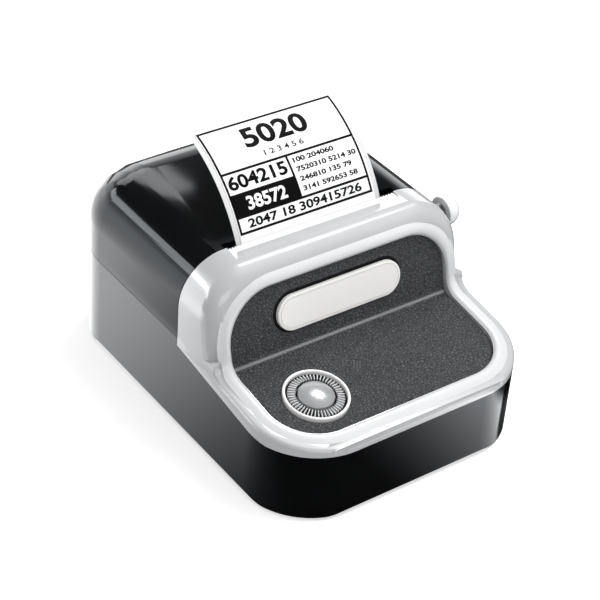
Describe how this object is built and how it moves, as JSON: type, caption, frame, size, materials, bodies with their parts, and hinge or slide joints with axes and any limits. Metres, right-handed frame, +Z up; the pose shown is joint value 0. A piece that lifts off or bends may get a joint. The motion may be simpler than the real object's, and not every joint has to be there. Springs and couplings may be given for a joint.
{
  "type": "thermal label printer",
  "caption": "Desktop thermal label printer: black case, hinged roll cover over a label roll, white frame with leather panel, dome button, knob and a printed label.",
  "frame": {"origin": "centre of the body's footprint on the table, under the rubber feet", "axes": "+Z up; the seat, panel and button face -Y; +X is to the right seen from the front"},
  "size_m": [0.1242, 0.1606, 0.1047],
  "materials": {
    "case_black": "gloss black injection moulding",
    "cover_smoke": "gloss smoky black injection moulding",
    "frame_white": "gloss white pearl",
    "black_matte": "moulded black, fine texture",
    "rubber_black": "matt rubber",
    "leather": "grained charcoal leather",
    "pearl": "satin pearl",
    "bezel_white": "gloss white",
    "silver": "bright plated metal",
    "steel": "plain steel",
    "spring_steel": "drawn spring wire",
    "knob": "gloss white",
    "aluminium": "plain aluminium",
    "ceramic": "fired ceramic substrate",
    "film": "polyimide film",
    "nylon": "natural nylon",
    "board_green": "solder-masked circuit board",
    "switch_black": "moulded black",
    "lead_red": "PVC wire insulation",
    "cell_wrap": "shrink wrap",
    "card": "wound cardboard",
    "label_paper": "coated thermal paper",
    "liner_paper": "glassine liner",
    "roll_paper": "edge of wound labels",
    "motor_grey": "plated motor can"
  },
  "bodies": {
    "case": {"bottom_case": "case_black", "bottom_plate": "black_matte", "rubber_feet": "rubber_black", "case_screws": "steel", "front_frame": "frame_white", "leather_panel": "leather", "name_plate": "pearl", "button_bezel": "bezel_white", "knurled_ring": "silver", "button_spring": "spring_steel", "button_board": "board_green", "tact_switch": "switch_black", "tear_bar": "steel", "release_spring": "spring_steel", "head_chassis": "steel", "chassis_screws": "steel", "head_shaft": "steel", "head_springs": "spring_steel", "head_cable": "film", "stepper_motor": "motor_grey", "idler_post": "steel", "main_board": "board_green", "charge_board": "board_green", "usb_socket": "steel", "charge_lead": "lead_red", "battery_pack": "cell_wrap", "battery_cradle": "black_matte", "roll_tray": "black_matte", "paper_chute": "black_matte", "gap_sensor": "switch_black", "paper_web": "liner_paper", "hinge_rod": "steel"},
    "roll_cover": {"roll_cover": "cover_smoke", "platen_bracket": "black_matte", "platen_bushes": "nylon", "label_liner": "liner_paper", "printed_label": "label_paper"},
    "platen": {"platen_shaft": "steel", "platen_roller": "rubber_black", "platen_gear": "nylon"},
    "pinion": {"motor_pinion": "nylon"},
    "idler": {"idler_gear": "nylon"},
    "roll": {"roll_core": "card", "label_roll": "roll_paper"},
    "print_head": {"print_head_strip": "ceramic", "head_heat_sink": "aluminium"},
    "left_guide": {"guide_left": "black_matte"},
    "right_guide": {"guide_right": "black_matte"},
    "guide_wheel": {"guide_pinion": "nylon"},
    "power_button": {"power_button": "silver"},
    "release_knob": {"release_knob": "knob"},
    "latch": {"latch_arm": "steel"}
  },
  "joints": [
    {"name": "cover_hinge", "type": "hinge", "parent": "case", "child": "roll_cover", "pos_m": [0, 0.0762, 0.0425], "axis": [-1, 0, 0], "range_deg": [0, 80], "deforming": ["paper_web"]},
    {"name": "roll_spin", "type": "hinge", "parent": "case", "child": "roll", "pos_m": [0, 0.04, 0.0375], "axis": [1, 0, 0], "continuous": true},
    {"name": "platen_spin", "type": "hinge", "parent": "roll_cover", "child": "platen", "pos_m": [0, -0.00164, 0.06789], "axis": [1, 0, 0], "continuous": true},
    {"name": "idler_spin", "type": "hinge", "parent": "case", "child": "idler", "pos_m": [-0.045, -0.00667, 0.05244], "axis": [1, 0, 0], "continuous": true},
    {"name": "pinion_spin", "type": "hinge", "parent": "case", "child": "pinion", "pos_m": [-0.045, -0.00667, 0.03719], "axis": [1, 0, 0], "continuous": true},
    {"name": "head_pivot", "type": "hinge", "parent": "case", "child": "print_head", "pos_m": [0, -0.01261, 0.05719], "axis": [1, 0, 0], "range_deg": [0, 3], "stiffness_Nm_per_rad": 0.8, "springref_deg": -8.59, "deforming": ["head_springs"]},
    {"name": "guide_left_slide", "type": "slide", "parent": "case", "child": "left_guide", "axis": [-1, 0, 0], "range_m": [0, 0.005], "stiffness_N_per_m": 100, "springref_m": -0.01},
    {"name": "guide_right_slide", "type": "slide", "parent": "case", "child": "right_guide", "axis": [1, 0, 0], "range_m": [0, 0.005]},
    {"name": "guide_wheel_spin", "type": "hinge", "parent": "case", "child": "guide_wheel", "pos_m": [0, 0.04, 0.0075], "axis": [0, 0, 1], "range_deg": [0, 72]},
    {"name": "button_press", "type": "slide", "parent": "case", "child": "power_button", "axis": [0, 0.1374, -0.9905], "range_m": [0, 0.0008], "stiffness_N_per_m": 1500, "springref_m": -0.0005, "deforming": ["button_spring"]},
    {"name": "knob_press", "type": "slide", "parent": "case", "child": "release_knob", "axis": [-1, 0, 0], "range_m": [0, 0.002], "stiffness_N_per_m": 800, "springref_m": -0.002, "deforming": ["release_spring"]},
    {"name": "latch_swing", "type": "hinge", "parent": "case", "child": "latch", "pos_m": [0.045, -0.01261, 0.05719], "axis": [1, 0, 0], "range_deg": [0, 7]}
  ],
  "couplings": [
    {"joint": "platen_spin", "follows": "roll_spin", "ratio": -6.5},
    {"joint": "pinion_spin", "follows": "roll_spin", "ratio": -8.6667},
    {"joint": "idler_spin", "follows": "roll_spin", "ratio": 2.1224},
    {"joint": "guide_right_slide", "follows": "guide_left_slide", "ratio": 1},
    {"joint": "guide_wheel_spin", "follows": "guide_left_slide", "rad_per_m": 250},
    {"joint": "latch_swing", "follows": "knob_press", "rad_per_m": 52.36}
  ]
}
